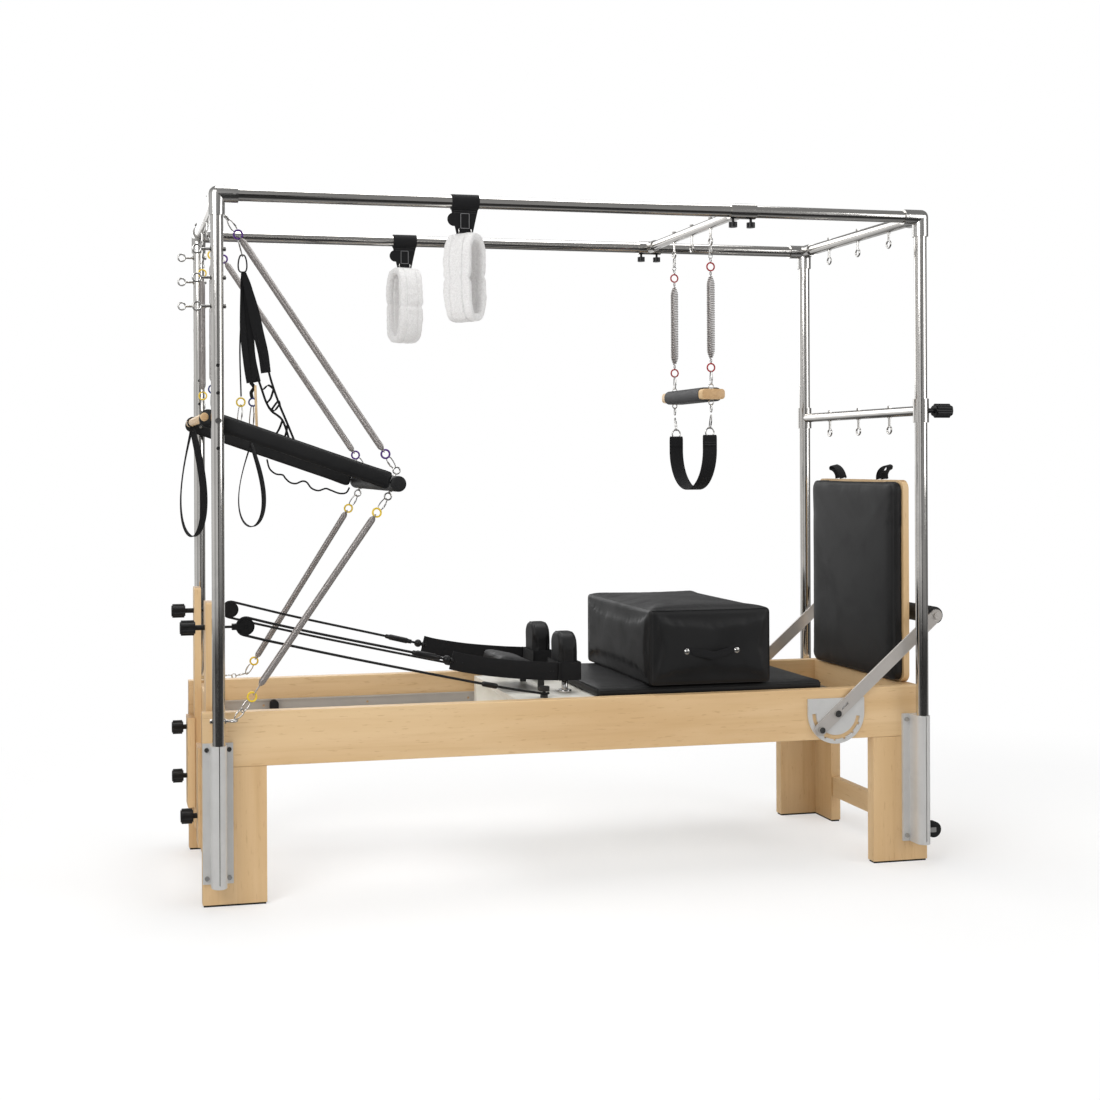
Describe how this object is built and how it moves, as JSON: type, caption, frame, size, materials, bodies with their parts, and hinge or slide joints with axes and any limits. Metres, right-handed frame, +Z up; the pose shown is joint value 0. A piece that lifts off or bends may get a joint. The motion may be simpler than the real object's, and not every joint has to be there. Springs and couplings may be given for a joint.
{
  "type": "pilates tower unit",
  "caption": "Pilates tower unit: maple reformer bed with rolling carriage, jump board and sitting box under a steel tube canopy with push-through bar, trapeze, springs and fleece loops.",
  "frame": {"origin": "on the floor under the centre of the bed", "axes": "+X along the bed towards the foot end with the jump board, +Y across the bed away from the near long side, +Z up"},
  "size_m": [2.468, 0.8811, 2.1115],
  "materials": {
    "maple": "satin lacquer",
    "steel_tube": "polished stainless",
    "steel_fittings": "bright",
    "spring_steel": "satin",
    "cast_aluminium": "satin",
    "track_aluminium": "anodised satin",
    "black_rubber": "matte",
    "black_plastic": "satin",
    "black_vinyl": "vinyl-coated, fine grain",
    "black_foam": "soft grip",
    "black_webbing": "woven",
    "black_rope": "braided",
    "white_fleece": "fluffy",
    "cream_paint": "painted"
  },
  "bodies": {
    "bed_frame": {"side_rails": "maple", "cross_rails": "maple", "legs_head": "maple", "legs_foot": "maple", "leg_stretchers": "maple", "foot_pads": "black_rubber", "carriage_tracks": "track_aluminium", "track_stops": "black_rubber", "post_brackets": "cast_aluminium", "frame_screws": "steel_fittings", "posts": "steel_tube", "top_rails": "steel_tube", "top_bars": "steel_tube", "corner_elbows": "steel_tube", "canopy_eyebolts": "steel_fittings", "risers": "maple", "pulley_blocks": "black_plastic", "clamp_knobs": "black_plastic", "spring_bar": "steel_fittings", "reformer_springs": "spring_steel", "ropes": "black_rope", "footbar_plates": "cast_aluminium", "push_springs": "spring_steel"},
    "pulley_wheel_front": {"pulley_wheel_front": "black_plastic"},
    "pulley_wheel_rear": {"pulley_wheel_rear": "black_plastic"},
    "riser_knob_front": {"riser_knob_front": "black_plastic"},
    "riser_knob_rear": {"riser_knob_rear": "black_plastic"},
    "carriage": {"carriage_frame": "cream_paint", "carriage_mat": "black_vinyl", "hand_straps": "black_webbing"},
    "carriage_wheels_head": {"carriage_wheels_head": "black_rubber"},
    "carriage_wheels_foot": {"carriage_wheels_foot": "black_rubber"},
    "headrest": {"headrest": "black_vinyl"},
    "shoulder_rest_front": {"shoulder_rest_front": "black_vinyl"},
    "shoulder_rest_rear": {"shoulder_rest_rear": "black_vinyl"},
    "sitting_box": {"sitting_box": "black_vinyl", "box_handles": "black_webbing"},
    "jump_board": {"jump_board": "maple", "jump_pad": "black_vinyl", "jump_loops": "black_webbing"},
    "footbar": {"footbar_arms": "cast_aluminium", "footbar_roll": "black_foam"},
    "footbar_latch": {"footbar_latch": "steel_fittings"},
    "push_bar": {"push_arms": "black_foam", "push_rods": "black_foam", "push_cords": "black_rope"},
    "push_strap": {"push_strap": "black_webbing"},
    "slide_bar": {"slide_bar": "steel_tube", "slide_knobs": "black_plastic"},
    "trapeze_hanger": {"trapeze_springs": "spring_steel", "trapeze_hooks": "steel_fittings"},
    "trapeze": {"trapeze_bar": "black_foam"},
    "sling": {"trapeze_sling": "black_webbing"},
    "fleece_loop_front": {"fleece_loop_front": "white_fleece"},
    "fleece_loop_rear": {"fleece_loop_rear": "white_fleece"},
    "lower_bar": {"lower_bar": "steel_tube"},
    "lower_bar_knob": {"lower_bar_knob": "black_plastic"},
    "hanging_springs": {"hanging_springs": "spring_steel"},
    "harness": {"harness": "black_webbing"},
    "transport_wheels": {"transport_wheels": "black_rubber"}
  },
  "joints": [
    {"name": "carriage_slide", "type": "slide", "parent": "bed_frame", "child": "carriage", "axis": [-1, 0, 0], "range_m": [0, 0.72], "stiffness_N_per_m": 300, "springref_m": -0.1, "deforming": ["reformer_springs", "ropes"]},
    {"name": "head_wheels_roll", "type": "hinge", "parent": "carriage", "child": "carriage_wheels_head", "pos_m": [-0.13, 0, 0.4823], "axis": [0, -1, 0], "range_deg": [0, 1880]},
    {"name": "foot_wheels_roll", "type": "hinge", "parent": "carriage", "child": "carriage_wheels_foot", "pos_m": [0.79, 0, 0.4823], "axis": [0, -1, 0], "range_deg": [0, 1880]},
    {"name": "headrest_tilt", "type": "hinge", "parent": "carriage", "child": "headrest", "pos_m": [-0.062, 0, 0.602], "axis": [0, 1, 0], "range_deg": [0, 35]},
    {"name": "shoulder_rest_front_lift", "type": "slide", "parent": "carriage", "child": "shoulder_rest_front", "axis": [0, 0, 1], "range_m": [0, 0.1]},
    {"name": "shoulder_rest_rear_lift", "type": "slide", "parent": "carriage", "child": "shoulder_rest_rear", "axis": [0, 0, 1], "range_m": [0, 0.1]},
    {"name": "box_lift", "type": "slide", "parent": "carriage", "child": "sitting_box", "axis": [0, 0, 1], "range_m": [0, 0.1]},
    {"name": "jump_board_lift", "type": "slide", "parent": "bed_frame", "child": "jump_board", "axis": [0, 0, 1], "range_m": [0, 0.08]},
    {"name": "footbar_hinge", "type": "hinge", "parent": "bed_frame", "child": "footbar", "pos_m": [0.851, 0, 0.493], "axis": [0, 1, 0], "range_deg": [-3, 35]},
    {"name": "footbar_latch_pull", "type": "slide", "parent": "footbar", "child": "footbar_latch", "axis": [0, -1, 0], "range_m": [0, 0.008], "stiffness_N_per_m": 600, "springref_m": -0.004},
    {"name": "push_bar_swing", "type": "hinge", "parent": "bed_frame", "child": "push_bar", "pos_m": [-1.13, 0, 1.426], "axis": [0, 1, 0], "range_deg": [-20, 20], "stiffness_Nm_per_rad": 60, "springref_deg": -17.19, "deforming": ["push_springs"]},
    {"name": "push_strap_swing", "type": "hinge", "parent": "push_bar", "child": "push_strap", "pos_m": [-1.16593, 0, 1.43837], "axis": [0, 1, 0], "range_deg": [-12, 12]},
    {"name": "slide_bar_travel", "type": "slide", "parent": "bed_frame", "child": "slide_bar", "axis": [1, 0, 0], "range_m": [-0.6, 0.12]},
    {"name": "trapeze_swing", "type": "hinge", "parent": "slide_bar", "child": "trapeze_hanger", "pos_m": [0.512, 0, 2.027], "axis": [0, 1, 0], "range_deg": [-15, 15]},
    {"name": "trapeze_pull", "type": "slide", "parent": "trapeze_hanger", "child": "trapeze", "axis": [0, 0, -1], "range_m": [0, 0.25], "stiffness_N_per_m": 250, "springref_m": -0.04, "deforming": ["trapeze_springs"]},
    {"name": "sling_swing", "type": "hinge", "parent": "trapeze", "child": "sling", "pos_m": [0.512, 0, 1.468], "axis": [0, 1, 0], "range_deg": [-30, 30]},
    {"name": "fleece_front_swing", "type": "hinge", "parent": "bed_frame", "child": "fleece_loop_front", "pos_m": [-0.386, -0.37, 2.085], "axis": [1, 0, 0], "range_deg": [-25, 25]},
    {"name": "fleece_rear_swing", "type": "hinge", "parent": "bed_frame", "child": "fleece_loop_rear", "pos_m": [-0.406, 0.37, 2.085], "axis": [1, 0, 0], "range_deg": [-25, 25]},
    {"name": "lower_bar_height", "type": "slide", "parent": "bed_frame", "child": "lower_bar", "axis": [0, 0, 1], "range_m": [0, 0.48]},
    {"name": "lower_bar_knob_turn", "type": "hinge", "parent": "lower_bar", "child": "lower_bar_knob", "pos_m": [1.19, -0.37, 1.463], "axis": [1, 0, 0], "continuous": true},
    {"name": "pulley_front_spin", "type": "hinge", "parent": "bed_frame", "child": "pulley_wheel_front", "pos_m": [-1.037, -0.243, 0.812], "axis": [0, 1, 0], "continuous": true},
    {"name": "pulley_rear_spin", "type": "hinge", "parent": "bed_frame", "child": "pulley_wheel_rear", "pos_m": [-1.037, 0.243, 0.812], "axis": [0, 1, 0], "continuous": true},
    {"name": "riser_knob_front_turn", "type": "hinge", "parent": "bed_frame", "child": "riser_knob_front", "pos_m": [-1.19, -0.243, 0.812], "axis": [1, 0, 0], "continuous": true},
    {"name": "riser_knob_rear_turn", "type": "hinge", "parent": "bed_frame", "child": "riser_knob_rear", "pos_m": [-1.19, 0.243, 0.812], "axis": [1, 0, 0], "continuous": true},
    {"name": "hanging_springs_swing", "type": "hinge", "parent": "bed_frame", "child": "hanging_springs", "pos_m": [-1.13, 0, 2.027], "axis": [0, 1, 0], "range_deg": [-3, 3]},
    {"name": "harness_swing", "type": "hinge", "parent": "bed_frame", "child": "harness", "pos_m": [-1.056, -0.25, 1.989], "axis": [0, 1, 0], "range_deg": [-4, 4]},
    {"name": "transport_wheels_roll", "type": "hinge", "parent": "bed_frame", "child": "transport_wheels", "pos_m": [1.208, 0, 0.095], "axis": [0, 1, 0], "continuous": true}
  ],
  "couplings": [
    {"joint": "head_wheels_roll", "follows": "carriage_slide", "rad_per_m": 45.455},
    {"joint": "foot_wheels_roll", "follows": "carriage_slide", "rad_per_m": 45.455}
  ]
}
